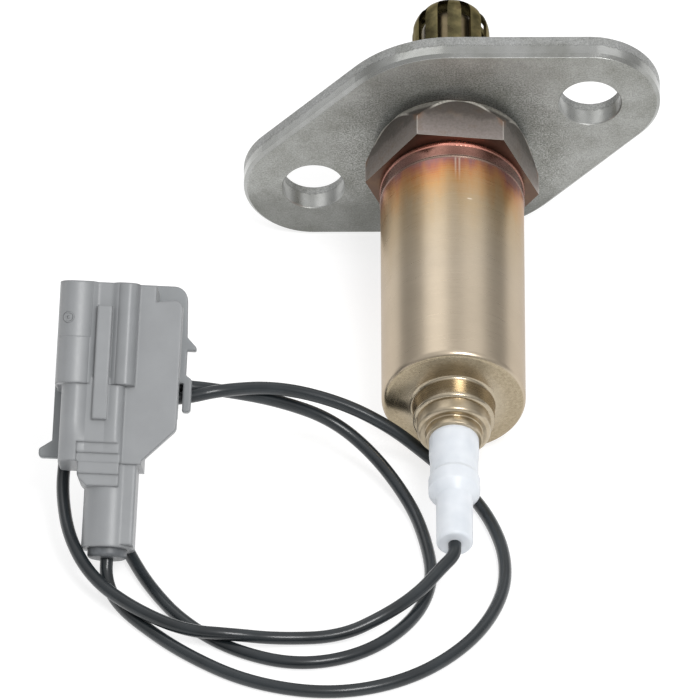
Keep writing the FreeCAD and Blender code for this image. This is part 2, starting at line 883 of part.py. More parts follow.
def make_disc_spring():
    body = new_body("disc_spring")
    outer = "tube_radius - tube_wall - spring_gap"
    turn(body, "spring_pressed", [
        ("spring_hole", "support_end_station"),
        (outer, "support_end_station + spring_rise"),
        (outer, "support_end_station + spring_rise + spring_thick"),
        ("spring_hole", "support_end_station + spring_thick"),
    ])
    return body


# Connector

def make_connector_housing():
    body = new_body("connector_housing")
    barrel = new_sketch(body, "barrel_outline", "XY_Plane")
    add_circle(barrel, "barrel_radius")
    extrude(body, "barrel", barrel, "body_start + body_lap")
    pad_up(body, "barrel_rib", [
        ("barrel_rib_start", "-barrel_rib_half"),
        ("barrel_radius", "-barrel_rib_half", "barrel_rib_inset"),
        ("barrel_radius", "barrel_rib_half", "barrel_rib_inset"),
        ("barrel_rib_start", "barrel_rib_half"),
    ], "barrel_rib_inset", "body_start + body_lap")
    shoulder_top = "body_start + body_lap"
    pad_forward(body, "shoulder", [
        ("-barrel_radius + barrel_rib_inset", "shoulder_start"),
        ("shoulder_right", "shoulder_start"),
        ("shoulder_right", shoulder_top),
        ("-shoulder_left", shoulder_top),
        ("-shoulder_left", "shoulder_waist", "shoulder_round"),
    ], "-shoulder_front + shoulder_step_depth", "shoulder_front - shoulder_step_depth")
    pad_forward(body, "shoulder_tier", [
        ("-shoulder_left", "shoulder_step"),
        ("shoulder_right", "shoulder_step"),
        ("shoulder_right", shoulder_top),
        ("-shoulder_left", shoulder_top),
    ], "-shoulder_front + shoulder_step_depth", "shoulder_front")
    pad_up(body, "body_block", [
        ("-body_left", "body_back", "back_round"),
        ("-body_left", "-body_front", "column_round"),
        ("body_column_right", "-body_front", "body_column_round"),
        ("body_column_right", "-plate_front"),
        ("body_right", "-plate_front"),
        ("body_right", "body_back"),
    ], "body_start", "hood_start + body_lap")
    pad_up(body, "hood", [
        ("-hood_left", "body_back", "back_round"),
        ("-hood_left", "-hood_front", "column_round"),
        ("-valley_left", "-hood_front", "valley_round"),
        ("-valley_left + valley_slope", "-hood_front + valley_depth", "valley_round / 2"),
        ("-valley_right - valley_slope", "-hood_front + valley_depth", "valley_round / 2"),
        ("-valley_right", "-hood_front", "valley_round"),
        ("hood_column_right", "-hood_front", "hood_column_round"),
        ("hood_column_right", "-plate_front"),
        ("hood_right", "-plate_front"),
        ("hood_right", "body_back", "back_round"),
    ], "hood_start", "hood_end")
    pad_forward(body, "side_plate", [
        ("body_right - plate_lap", "body_start"),
        ("plate_foot", "body_start"),
        ("plate_right", "plate_corner", "plate_round"),
        ("plate_right", "plate_top", "plate_round"),
        ("body_right - plate_lap", "plate_top - plate_top_slope"),
    ], "plate_front - plate_thick", "plate_front")
    doc.recompute()
    for name, top, depth in (("upper_tier", "tier_high", "tier_depth"),
                             ("lower_tier", "tier_low", "2 * tier_depth")):
        before = body.Shape.Volume
        cut_check(pocket_down(body, name, [
            ("-tier_left", "-body_front - body_lap"),
            ("tier_right", "-body_front - body_lap"),
            ("tier_right", f"-body_front + {depth}"),
            ("-tier_left", f"-body_front + {depth}"),
        ], top, "body_start"), before)
    pad_forward(body, "rib", [
        ("-rib_left", "rib_low"),
        ("-rib_right", "rib_low"),
        ("-rib_right", "rib_high"),
        ("-rib_left", "rib_high"),
    ], "rib_root", "rib_front")
    doc.recompute()
    before = body.Shape.Volume
    cut_check(bore_down(body, "socket", "socket_radius", "hood_end", "hood_end - socket_depth"),
              before)
    before = body.Shape.Volume
    cut_check(bore_down(body, "terminal_cavity", "terminal_radius", "hood_end - socket_depth",
                        "0"), before)
    before = body.Shape.Volume
    cut_check(bore_down(body, "seal_pocket", "seal_radius", "seal_depth", "0"), before)
    return body


def make_wire_seal():
    body = new_body("wire_seal")
    groove_low = "seal_depth * seal_groove_share"
    groove_high = "seal_depth * (1 - seal_groove_share)"
    turn(body, "seal_moulded", [
        ("wire_radius", "-seal_proud"),
        ("seal_radius", "-seal_proud", "seal_round"),
        ("seal_radius", groove_low, "seal_groove / 2"),
        ("seal_radius - seal_groove", f"{groove_low} + seal_groove"),
        ("seal_radius - seal_groove", f"{groove_high} - seal_groove"),
        ("seal_radius", groove_high, "seal_groove / 2"),
        ("seal_radius", "seal_depth"),
        ("wire_radius", "seal_depth"),
    ])
    return body


def make_connector_terminal():
    body = new_body("connector_terminal")
    top = "hood_end - socket_depth"
    turn(body, "terminal_rolled", [
        ("wire_radius", "terminal_start"),
        ("terminal_radius", "terminal_start"),
        ("terminal_radius", top),
        ("terminal_bore", top),
        ("terminal_bore", f"{top} - terminal_bore_depth", "terminal_bore_round"),
        ("wire_radius", f"{top} - terminal_bore_depth"),
    ])
    return body


def make_rear_holder():
    body = new_body("rear_holder")
    back = "-body_back - holder_thick"
    pad_forward(body, "holder_plate", [
        ("-holder_left", "left_barb_base"),
        ("-holder_low_left", "left_barb_base"),
        ("-hook_left", "holder_cut"),
        ("tab_left - tab_slot", "holder_cut"),
        ("tab_left - tab_slot", "tab_high - tab_slot"),
        ("tab_left", "tab_high - tab_slot"),
        ("tab_left", "tab_low", "tab_round / 2"),
        ("tab_right", "tab_low", "tab_round"),
        ("tab_right", "tab_high", "tab_round"),
        ("holder_right", "tab_high + tab_slot", "tab_round"),
        ("holder_right", "right_barb_base"),
        ("holder_top_right", "holder_top", "holder_round"),
        ("-holder_left", "holder_top", "holder_round / 2"),
    ], back, "-body_back")
    left_barb_top = "left_barb_base + left_barb_height"
    pad_forward(body, "left_barb", [
        ("-holder_left + barb_lap", "left_barb_base"),
        ("-holder_left + barb_lap", left_barb_top),
        ("-holder_left", left_barb_top),
        ("-holder_left - barb_reach", "left_barb_base + left_barb_height / 2", "tab_round"),
        ("-holder_left - barb_reach", "left_barb_base", "tab_round"),
    ], back, "-body_back")
    right_barb_top = "right_barb_base + right_barb_height"
    pad_forward(body, "right_barb", [
        ("holder_top_right - barb_lap", "right_barb_base"),
        ("holder_right + right_barb_reach", "right_barb_base", "tab_round / 2"),
        ("holder_right + right_barb_reach", "right_barb_base + tab_round", "tab_round / 2"),
        ("holder_right", right_barb_top),
        ("holder_top_right - barb_lap", right_barb_top),
    ], back, "-body_back")
    hook_front = "-body_back - holder_thick - hook_gap"
    hook_back = "-body_back - holder_thick - hook_gap - hook_thick"
    pad_forward(body, "hook_root", [
        ("-hook_left", "hook_high - hook_thick"),
        ("hook_right", "hook_high - hook_thick"),
        ("hook_right", "hook_high"),
        ("-hook_left", "hook_high"),
    ], hook_front, "-body_back - holder_thick / 2")
    pad_forward(body, "hook_strap", [
        ("-hook_left", "hook_low", "hook_round"),
        ("hook_right", "hook_low", "hook_round"),
        ("hook_right", "hook_high"),
        ("-hook_left", "hook_high"),
    ], hook_back, hook_front)
    return body


# Places of the two frames

def sensor_place(turned=0.0):
    """The sensor's frame in the row: it touches the surface with the flange's lower edge and
    with the rounded rim of its cover."""
    rim_centre = amount("tube_end_station - tube_rim_round")
    run = rim_centre + amount("flange_edge_bevel")
    drop = amount("flange_hub_radius - tube_radius + tube_rim_round")
    rim = amount("tube_rim_round")
    dip = math.atan2(drop, run) - math.asin(rim / math.hypot(run, drop))
    height = (amount("flange_hub_radius") * math.cos(dip)
              - amount("flange_edge_bevel") * math.sin(dip))
    front = (amount("bush_end_station - bush_round") * math.cos(dip)
             + amount("bush_nose_radius - bush_round") * math.sin(dip) + amount("bush_round"))
    rear = (amount("cap_end_station - cap_round") * math.cos(dip)
            + amount("cap_radius - cap_round") * math.sin(dip) + amount("cap_round"))
    lay = Rotation(Vector(1, 0, 0), 90 + math.degrees(dip))
    spin = Rotation(Vector(0, 0, 1), turned)
    return Placement(Vector(0, (front - rear) / 2, height), lay.multiply(spin))


def connector_place():
    base = Vector(amount("connector_x"), amount("connector_y"), amount("connector_z"))
    turn_about_up = Rotation(Vector(0, 0, 1), -amount("connector_turn"))
    lean = Rotation(Vector(1, 0, 0), amount("connector_pitch") - 90)
    return Placement(base, turn_about_up.multiply(lean))


# Lead

def route_edges(points):
    """Straight runs joined by tangent arcs, each as large as its two runs allow."""
    share = 0.45
    edges = []
    here = points[0]
    for before, corner, after in zip(points, points[1:], points[2:]):
        back = before - corner
        ahead = after - corner
        run = min(back.Length, ahead.Length)
        back.normalize()
        ahead.normalize()
        turn_angle = math.pi - back.getAngle(ahead)
        radius = share * run / math.tan(turn_angle / 2)
        bisector = (back + ahead).normalize()
        start = corner + back * (share * run)
        end = corner + ahead * (share * run)
        centre = corner + bisector * (radius / math.cos(turn_angle / 2))
        middle = centre - bisector * radius
        edges.append(Part.LineSegment(here, start).toShape())
        edges.append(Part.Arc(start, middle, end).toShape())
        here = end
        print(f"lead bend radius {radius:.1f} mm, run {run:.1f} mm, "
              f"turn {math.degrees(turn_angle):.0f} deg")
    edges.append(Part.LineSegment(here, points[-1]).toShape())
    return edges


def make_lead_wire():
    """One wire from the rod's crimp through the bush, along the route and into the connector."""
    sensor = sensor_place()
    connector = connector_place()
    lead = doc.addObject("Part::Feature", "lead_wire")
    lead.Label = "lead_wire"
    radius = amount("wire_radius")
    inner_end = sensor.multVec(Vector(0, 0, amount("rod_top_station")))
    bush_end = sensor.multVec(Vector(0, 0, amount("bush_end_station")))
    first_bend = sensor.multVec(Vector(0, 0, amount("bush_end_station + lead_start_run")))
    seal_end = connector.multVec(Vector(0, 0, -amount("seal_proud")))
    last_bend = connector.multVec(Vector(0, 0, -amount("seal_proud + lead_end_run")))
    terminal_end = connector.multVec(Vector(0, 0, amount("terminal_start + terminal_lap")))
    route = [bush_end, first_bend] + [Vector(*point) for point in LEAD_ROUTE]
    route += [last_bend, seal_end]
    edges = route_edges(route)
    length = sum(edge.Length for edge in edges)
    print(f"lead length outside {length:.1f} mm")
    path = Part.Wire(edges)
    normal = (first_bend - bush_end).normalize()
    section = Part.Wire([Part.Circle(bush_end, normal, radius).toShape()])
    tube = path.makePipeShell([section], True, False)
    expected = math.pi * radius ** 2 * length
    print(f"lead volume {tube.Volume:.2f}, section times length {expected:.2f}")
    if abs(tube.Volume - expected) > 0.01 * expected:
        raise RuntimeError("the lead's tube has the wrong volume")
    inside = (bush_end - inner_end).Length
    sensor_stub = Part.makeCylinder(radius, inside, inner_end, bush_end - inner_end)
    far = (terminal_end - seal_end).Length
    connector_stub = Part.makeCylinder(radius, far, seal_end, terminal_end - seal_end)
    whole = tube.fuse([sensor_stub, connector_stub]).removeSplitter()
    lead.Shape = whole.Solids[0] if len(whole.Solids) == 1 else whole
    return lead


# Build, place, check and write

sensor_parts = [
    make_outer_cover(),
    make_neck_sleeve(),
    make_lead_bush(),
    make_protective_cover(),
    make_inner_cover(),
    make_sensing_element(),
    make_seat_washer(),
    make_inner_contact(),
    make_contact_rod(),
    make_crimp_sleeve(),
    make_support_tube(),
    make_disc_spring(),
] + make_stack()
clocked_parts = [make_flange(), make_housing()]
connector_parts = [
    make_connector_housing(),
    make_wire_seal(),
    make_connector_terminal(),
    make_rear_holder(),
]
doc.recompute()

for part in sensor_parts:
    turned = amount("cap_turn") if part.Label == "protective_cover" else 0.0
    part.Placement = sensor_place(turned)
for part in clocked_parts:
    part.Placement = sensor_place(flange_angle())
for part in connector_parts:
    part.Placement = connector_place()
lead_wire = make_lead_wire()
doc.recompute()

for item in doc.Objects:
    if "Invalid" in item.State or "Error" in item.State:
        raise RuntimeError(f"{item.Label} did not build: {item.State}")

subparts = sensor_parts + clocked_parts + connector_parts + [lead_wire]
for part in subparts:
    shape = part.Shape
    if shape.isNull() or not shape.isValid() or not shape.Solids:
        raise RuntimeError(f"{part.Label} has no valid solid")

os.makedirs("parts", exist_ok=True)
for part in subparts:
    part.Shape.exportStep(os.path.join("parts", part.Label + ".step"))
    print(f"{part.Label}: {len(part.Shape.Solids)} solid, {part.Shape.Volume:.1f} mm3")
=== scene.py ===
import math

import bpy
from mathutils import Euler, Matrix, Vector


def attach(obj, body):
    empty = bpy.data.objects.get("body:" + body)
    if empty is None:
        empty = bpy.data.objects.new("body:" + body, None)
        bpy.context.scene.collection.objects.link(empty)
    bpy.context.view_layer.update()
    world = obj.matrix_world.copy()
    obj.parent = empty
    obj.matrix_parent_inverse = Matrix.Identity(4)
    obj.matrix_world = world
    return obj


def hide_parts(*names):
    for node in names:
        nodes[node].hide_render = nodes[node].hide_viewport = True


MM = 0.001

# Places of the two frames, in millimetres: the same values as the model's source
SENSOR_BASE = Vector((0.0, 25.6815, 18.7411))
SENSOR_DIP = math.radians(9.72413)
SENSOR_CLOCKING = math.radians(23.8626)
CONNECTOR_BASE = Vector((-50.1, -52.05, 4.9))
CONNECTOR_TURN = math.radians(4.47)
CONNECTOR_PITCH = math.radians(43.1)

# Sizes of the model's source that the looks and the lead follow, in millimetres.
# Stations are counted along the sensor, from the flange's face next to the hexagon
# towards the lead, and the hood's start along the connector, from its wire end
FLANGE_THICK = 4.2
BOLT_OFFSET = 22.0
BOLT_HOLE_RADIUS = 4.5
CHAMFER_START = 1.35
CHAMFER_START_RADIUS = 11.15
CHAMFER_END = 5.05
CHAMFER_END_RADIUS = 12.75
HEX_HEIGHT = 8.55
COLLAR_END = 12.05
TUBE_END = 50.8
BUSH_END = 78.45
HOOD_START = 23.4
SEAL_PROUD = 1.3
WIRE_RADIUS = 0.95
LEAD_START_RUN = 2.1
LEAD_END_RUN = 2.0

# How much deeper the flange's smooth cut goes in its bolt holes, in millimetres
HOLE_CUT_DEEPER = 0.7

# The lead's route, in millimetres: the points of the model's source, moved
# by up to 2 mm to follow the photograph
ROUTE = [
    (-2.0, -56.3, 4.75),
    (-5.0, -60.0, 3.4),
    (-9.8, -64.7, 2.9),
    (-16.6, -67.6, 1.1),
    (-25.6, -68.0, 1.1),
    (-32.0, -69.3, 2.95),
    (-39.1, -68.4, 2.98),
    (-46.4, -63.2, 3.0),
    (-52.2, -57.2, 3.6),
    (-55.6, -50.2, 5.5),
    (-56.65, -41.35, 6.8),
    (-56.25, -35.75, 8.8),
    (-55.5, -31.65, 13.2),
    (-52.7, -28.75, 16.0),
    (-47.7, -28.15, 16.9),
    (-38.9, -28.7, 16.65),
    (-33.6, -27.35, 14.8),
    (-25.6, -25.85, 11.85),
    (-17.6, -25.15, 7.8),
    (-11.3, -29.2, 4.2),
    (-6.2, -36.75, 1.2),
    (-4.0, -45.55, 0.95),
    (-3.1, -54.55, 0.95),
    (-5.8, -63.65, 0.95),
    (-13.0, -71.45, 0.95),
    (-22.6, -74.1, 0.95),
    (-32.2, -70.5, 0.95),
    (-39.4, -63.6, 0.95),
    (-43.8, -56.0, 0.95),
    (-46.5, -49.2, 0.95),
    (-48.5, -43.15, 1.3),
    (-50.2, -38.75, 5.2),
    (-50.6, -35.35, 9.8),
    (-50.0, -32.45, 12.7),
    (-47.6, -30.65, 14.6),
    (-43.8, -30.15, 15.4),
    (-39.0, -30.3, 15.6),
    (-33.6, -29.55, 16.6),
    (-25.4, -25.65, 14.1),
    (-16.6, -25.15, 11.0),
    (-9.4, -26.55, 7.6),
    (-3.6, -27.75, 2.9),
    (1.2, -31.95, 1.0),
    (5.2, -39.75, 0.95),
    (7.5, -49.15, 0.95),
    (6.9, -58.75, 0.95),
    (2.2, -69.15, 0.95),
    (-6.6, -77.5, 0.95),
    (-17.8, -80.8, 0.95),
    (-29.6, -78.1, 0.95),
    (-39.2, -71.15, 0.95),
    (-46.2, -63.3, 0.95),
    (-48.7, -59.2, 0.95),
    (-49.85, -56.55, 1.5),
]

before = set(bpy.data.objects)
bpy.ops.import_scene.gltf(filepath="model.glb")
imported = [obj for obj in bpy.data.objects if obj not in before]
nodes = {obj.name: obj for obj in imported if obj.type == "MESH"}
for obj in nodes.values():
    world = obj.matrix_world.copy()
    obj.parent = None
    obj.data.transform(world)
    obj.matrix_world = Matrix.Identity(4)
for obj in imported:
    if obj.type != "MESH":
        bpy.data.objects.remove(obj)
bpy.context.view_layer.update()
scene = bpy.context.scene


# Frames

def sensor_rotation():
    """The sensor's own axes: X across it, Y up and Z along it towards the lead."""
    return Euler((math.pi / 2 + SENSOR_DIP, 0.0, 0.0)).to_matrix()


def connector_rotation():
    """The connector's own axes: X across it, Y towards its back and Z along it."""
    turn = Matrix.Rotation(-CONNECTOR_TURN, 3, "Z")
    lean = Matrix.Rotation(CONNECTOR_PITCH - math.pi / 2, 3, "X")
    return turn @ lean


def sensor_point(station):
    """A point in metres on the sensor's axis."""
    return (SENSOR_BASE + sensor_rotation() @ Vector((0, 0, station))) * MM


def connector_point(along):
    """A point in metres on the axis of the connector's wire end."""
    return (CONNECTOR_BASE + connector_rotation() @ Vector((0, 0, along))) * MM


# Shader helpers

def srgb(red, green, blue):
    """A colour from 0 to 255 per channel as the shader's linear values."""
    def linear(value):
        part = value / 255.0
        return part / 12.92 if part <= 0.04045 else ((part + 0.055) / 1.055) ** 2.4
    return (linear(red), linear(green), linear(blue))


def fill_band(band, stops):
    """Gives a colour band its stops, each a position and a colour, from first to last."""
    while len(band.elements) > 1:
        band.elements.remove(band.elements[-1])
    band.elements[0].position = stops[0][0]
    band.elements[0].color = (*stops[0][1], 1.0)
    for position, color in stops[1:]:
        band.elements.new(position).color = (*color, 1.0)


class Shader:
    """A node material, built up one node at a time."""

    def __init__(self, name):
        self.material = bpy.data.materials.new(name)
        self.material.use_nodes = True
        self.tree = self.material.node_tree
        self.surface = self.tree.nodes["Principled BSDF"]

    def node(self, kind, **settings):
        made = self.tree.nodes.new(kind)
        for key, value in settings.items():
            setattr(made, key, value)
        return made

    def join(self, value, socket):
        """Gives a socket a number, a colour or another node's output."""
        if isinstance(value, (int, float)):
            socket.default_value = value
        elif isinstance(value, tuple):
            socket.default_value = (*value, 1.0)
        else:
            self.tree.links.new(value, socket)

    def set(self, name, value):
        self.surface.inputs[name].default_value = value

    def whole(self):
        """The whole object's coordinates, in metres."""
        return self.node("ShaderNodeTexCoord").outputs["Object"]

    def local(self, base, rotation):
        """The whole object's coordinates turned into one frame's own, in millimetres."""
        turn = self.node("ShaderNodeMapping", vector_type="POINT")
        back = rotation.transposed()
        turn.inputs["Scale"].default_value = (1.0 / MM, 1.0 / MM, 1.0 / MM)
        turn.inputs["Rotation"].default_value = back.to_euler()
        turn.inputs["Location"].default_value = -(back @ base)
        self.join(self.whole(), turn.inputs["Vector"])
        return turn.outputs["Vector"]

    def sensor(self):
        return self.local(SENSOR_BASE, sensor_rotation())

    def connector(self):
        return self.local(CONNECTOR_BASE, connector_rotation())

    def stretch(self, vector, scale):
        move = self.node("ShaderNodeMapping", vector_type="POINT")
        move.inputs["Scale"].default_value = scale
        self.join(vector, move.inputs["Vector"])
        return move.outputs["Vector"]

    def noise(self, vector, scale, detail=3.0, roughness=0.55):
        made = self.node("ShaderNodeTexNoise")
        made.inputs["Scale"].default_value = scale
        made.inputs["Detail"].default_value = detail
        made.inputs["Roughness"].default_value = roughness
        self.join(vector, made.inputs["Vector"])
        return made.outputs["Fac"]

    def axis(self, vector, name):
        parts = self.node("ShaderNodeSeparateXYZ")
        self.join(vector, parts.inputs[0])
        return parts.outputs[name]

    def math(self, operation, *values):
        made = self.node("ShaderNodeMath", operation=operation)
        for socket, value in zip(made.inputs, values):
            self.join(value, socket)
        return made.outputs[0]

    def plus(self, first, second):
        return self.math("ADD", first, second)

    def minus(self, first, second):
        return self.math("SUBTRACT", first, second)

    def times(self, first, second):
        return self.math("MULTIPLY", first, second)

    def most(self, first, second):
        return self.math("MAXIMUM", first, second)

    def apart(self, value, middle):
        """How far a value lies from the middle, on either side."""
        return self.math("ABSOLUTE", self.minus(value, middle))

    def radius(self, first, second):
        """The distance from an axis, or from a point on a surface."""
        squares = self.plus(self.times(first, first), self.times(second, second))
        return self.math("SQRT", squares)

    def span(self, value, low, high, to_low=0.0, to_high=1.0, smooth=True):
        """The value's part of the way from low to high, held at both ends."""
        made = self.node("ShaderNodeMapRange")
        made.interpolation_type = "SMOOTHSTEP" if smooth else "LINEAR"
        made.inputs["From Min"].default_value = low
        made.inputs["From Max"].default_value = high
        made.inputs["To Min"].default_value = to_low
        made.inputs["To Max"].default_value = to_high
        self.join(value, made.inputs["Value"])
        return made.outputs["Result"]

    def fade(self, value, low, high, strength=1.0):
        """The full strength below low, and nothing above high."""
        return self.span(value, low, high, strength, 0.0)

    def ramp(self, value, *stops):
        made = self.node("ShaderNodeValToRGB")
        fill_band(made.color_ramp, stops)
        self.join(value, made.inputs["Fac"])
        return made.outputs["Color"]

    def zones(self, value, low, high, *stops):
        """Colours along a length from low to high, each stop at its own place on it."""
        share = self.span(value, low, high, smooth=False)
        return self.ramp(share, *[((place - low) / (high - low), color) for place, color in stops])

    def mix(self, amount, first, second, blend="MIX"):
        made = self.node("ShaderNodeMix", data_type="RGBA", blend_type=blend)
        self.join(amount, made.inputs["Factor"])
        self.join(first, made.inputs["A"])
        self.join(second, made.inputs["B"])
        return made.outputs["Result"]

    def rounded(self, radius):
        """Edges shaded as if they were rounded by this radius in metres."""
        made = self.node("ShaderNodeBevel", samples=6)
        made.inputs["Radius"].default_value = radius
        return made.outputs["Normal"]

    def bump(self, height, strength, distance, base=None):
        made = self.node("ShaderNodeBump")
        made.inputs["Strength"].default_value = strength
        made.inputs["Distance"].default_value = distance
        self.join(height, made.inputs["Height"])
        if base is not None:
            self.join(base, made.inputs["Normal"])
        self.join(made.outputs["Normal"], self.surface.inputs["Normal"])
        return made.outputs["Normal"]

    def color(self, value):
        self.join(value, self.surface.inputs["Base Color"])

    def rough(self, value):
        self.join(value, self.surface.inputs["Roughness"])


# Materials

def bolt_hole_depth(shader, across, up):
    """How much deeper the smooth cut goes, in millimetres: nothing outside the bolt holes."""
    distances = []
    for side in (1.0, -1.0):
        hole_across = side * BOLT_OFFSET * math.cos(SENSOR_CLOCKING)
        hole_up = side * BOLT_OFFSET * math.sin(SENSOR_CLOCKING)
        distances.append(shader.radius(shader.minus(across, hole_across),
                                       shader.minus(up, hole_up)))
    nearest = shader.math("MINIMUM", *distances)
    return shader.fade(nearest, BOLT_HOLE_RADIUS + 0.25, BOLT_HOLE_RADIUS + 0.45,
                       HOLE_CUT_DEEPER)


def flange_material():
    """Granular grey sheet steel: its cut walls are smooth next to the face and torn behind."""
    shader = Shader("flange_steel_look")
    place = shader.sensor()
    across = shader.axis(place, "X")
    up = shader.axis(place, "Y")
    station = shader.axis(place, "Z")
    fine = shader.noise(place, 4.2, 4.0, 0.85)
    coarse = shader.noise(place, 1.6, 4.0, 0.65)
    patches = shader.noise(place, 0.16, 3.0, 0.6)
    grain = shader.plus(shader.times(fine, 0.82), shader.times(coarse, 0.18))

    # The face, with darker speckles round the hexagon and painted shade on its lower side
    plain = shader.ramp(grain, (0.36, srgb(146, 147, 144)), (0.5, srgb(168, 169, 166)),
                        (0.64, srgb(188, 190, 187)))
    speckled = shader.ramp(grain, (0.38, srgb(104, 105, 102)), (0.5, srgb(156, 157, 153)),
                           (0.62, srgb(198, 199, 196)))
    around_hexagon = shader.fade(shader.radius(across, up), 14.0, 19.5, 0.9)
    # Painted shade: the face grows darker towards its lower side, along a wavy edge
    wavy_up = shader.plus(up, shader.span(patches, 0.3, 0.7, -1.0, 1.0))
    painted_shade_below = shader.fade(wavy_up, -14.5, -6.5, 0.55)
    face = shader.mix(painted_shade_below, shader.mix(around_hexagon, plain, speckled),
                      srgb(102, 103, 99))

    # The cut walls: smooth for half of the thickness, and deeper in the bolt holes
    boundary = -FLANGE_THICK / 2
    in_hole = bolt_hole_depth(shader, across, up)
    waver = shader.span(coarse, 0.3, 0.7, -0.2, 0.2)
    edge = shader.plus(shader.plus(station, waver), in_hole)
    behind = shader.fade(edge, boundary - 0.1, boundary + 0.1)
    cut = shader.times(shader.span(edge, boundary - 0.1, boundary + 0.1),
                       shader.fade(station, -0.06, -0.02))
    torn = shader.ramp(grain, (0.36, srgb(138, 139, 138)), (0.64, srgb(196, 197, 196)))
    sheared = shader.mix(cut, shader.mix(behind, face, torn), srgb(170, 171, 169))
    crease = shader.fade(shader.apart(edge, boundary), 0.03, 0.14, 0.4)
    creased = shader.mix(crease, sheared, srgb(112, 113, 112))

    tone = shader.ramp(patches, (0.3, srgb(218, 218, 214)), (0.66, srgb(255, 255, 255)))
    shader.color(shader.mix(1.0, creased, tone, "MULTIPLY"))
    shader.set("Metallic", 0.8)
    rough = shader.span(grain, 0.36, 0.64, 0.60, 0.46)
    gloss = shader.times(cut, shader.span(in_hole, 0.0, HOLE_CUT_DEEPER, 0.34, 0.20))
    shader.rough(shader.minus(rough, gloss))
    uncut = shader.minus(1.0, cut)
    shader.bump(shader.times(grain, uncut), 0.28, 0.00010)
    return shader.material


def cover_marks(shader, across, up, station, reach):
    """Two faint lines that start at the weld, and one nick, on the upper side only."""
    lines_across = 0.73
    nick_across = 2.47
    nick_station = 20.0
    nick_narrowing = 3.2
    from_middle = shader.apart(across, lines_across)
    lines = shader.times(shader.span(from_middle, 0.08, 0.26),
                         shader.fade(from_middle, 0.30, 0.50))
    faded = shader.times(lines, shader.fade(reach, 12.5, 17.5, 0.4))
    lengthwise = shader.times(shader.minus(station, nick_station), nick_narrowing)
    from_nick = shader.radius(shader.minus(across, nick_across), lengthwise)
    nick = shader.fade(from_nick, 0.25, 0.5, 0.7)
    upper_side = shader.span(up, 2.0, 4.0)
    return shader.times(shader.most(faded, nick), upper_side)


def cover_material():
    """Satin drawn steel with heat tint next to the weld."""
    shader = Shader("cover_steel_look")
    place = shader.sensor()
    across = shader.axis(place, "X")
    up = shader.axis(place, "Y")
    station = shader.axis(place, "Z")
    rings = shader.noise(shader.stretch(place, (0.12, 0.12, 5.0)), 1.0, 4.0, 0.7)
    clouds = shader.noise(place, 0.22, 4.0, 0.6)

    # The tube: its tint ends in tongues along the sensor
    tint_start = 12.0
    tint_end = 32.0
    waver = shader.noise(shader.stretch(place, (0.34, 0.34, 0.06)), 1.0, 4.0, 0.6)
    reach = shader.plus(station, shader.span(waver, 0.25, 0.75, -1.7, 1.7))
    tint = shader.zones(reach, tint_start, tint_end,
                        (tint_start, srgb(140, 90, 92)),
                        (13.0, srgb(164, 100, 78)),
                        (14.6, srgb(184, 126, 76)),
                        (16.8, srgb(184, 144, 98)),
                        (20.4, srgb(180, 158, 126)),
                        (26.0, srgb(186, 170, 146)),
                        (tint_end, srgb(190, 176, 156)))
    dulled = shader.mix(shader.span(clouds, 0.3, 0.75, 0.0, 0.2), tint, srgb(160, 148, 130))
    ringed = shader.mix(shader.span(rings, 0.35, 0.7, 0.0, 0.10), dulled, srgb(216, 204, 184))
    marks = cover_marks(shader, across, up, station, reach)
    tube = shader.mix(marks, ringed, srgb(236, 222, 202))

    # The end face, with a paler boss
    grain = shader.noise(place, 2.2, 4.0, 0.7)
    face = shader.ramp(grain, (0.3, srgb(150, 137, 114)), (0.7, srgb(178, 165, 141)))
    on_boss = shader.span(station, TUBE_END + 0.2, TUBE_END + 0.5, 0.0, 0.6)
    end = shader.mix(on_boss, face, srgb(186, 175, 156))
    at_end = shader.span(station, TUBE_END - 0.2, TUBE_END - 0.02)

    shader.color(shader.mix(at_end, tube, end))
    shader.set("Metallic", 1.0)
    shader.set("Specular Tint", (0.78, 0.74, 0.70, 1.0))
    rough = shader.span(rings, 0.3, 0.7, 0.27, 0.33)
    shader.rough(shader.minus(rough, shader.times(at_end, 0.04)))
    shader.bump(rings, 0.05, 0.00003)
    return shader.material


def depth_in_cone(shader, radius, station):
    """How far a point of the hexagon lies inside its chamfer cone, in millimetres."""
    slope = (CHAMFER_END_RADIUS - CHAMFER_START_RADIUS) / (CHAMFER_END - CHAMFER_START)
    foot_radius = CHAMFER_START_RADIUS - slope * CHAMFER_START
    cone = shader.plus(shader.times(station, slope), foot_radius)
    return shader.minus(cone, radius)


def hexagon_wear_and_highlight(shader, radius, station, depth):
    """Bright lines where the chamfer meets the flats, round the end face and at the corners:
    partly wear and partly painted highlight.
    """
    chamfer = shader.times(shader.fade(depth, 0.14, 0.24), shader.fade(radius, 11.55, 11.95))
    before_face = shader.fade(station, HEX_HEIGHT - 0.025, HEX_HEIGHT - 0.005)
    rim = shader.times(shader.span(station, HEX_HEIGHT - 0.19, HEX_HEIGHT - 0.09),
                       shader.times(before_face, 0.55))
    corners = shader.times(shader.span(radius, 12.6, 12.69, 0.0, 0.6), before_face)
    return shader.most(chamfer, shader.most(rim, corners))


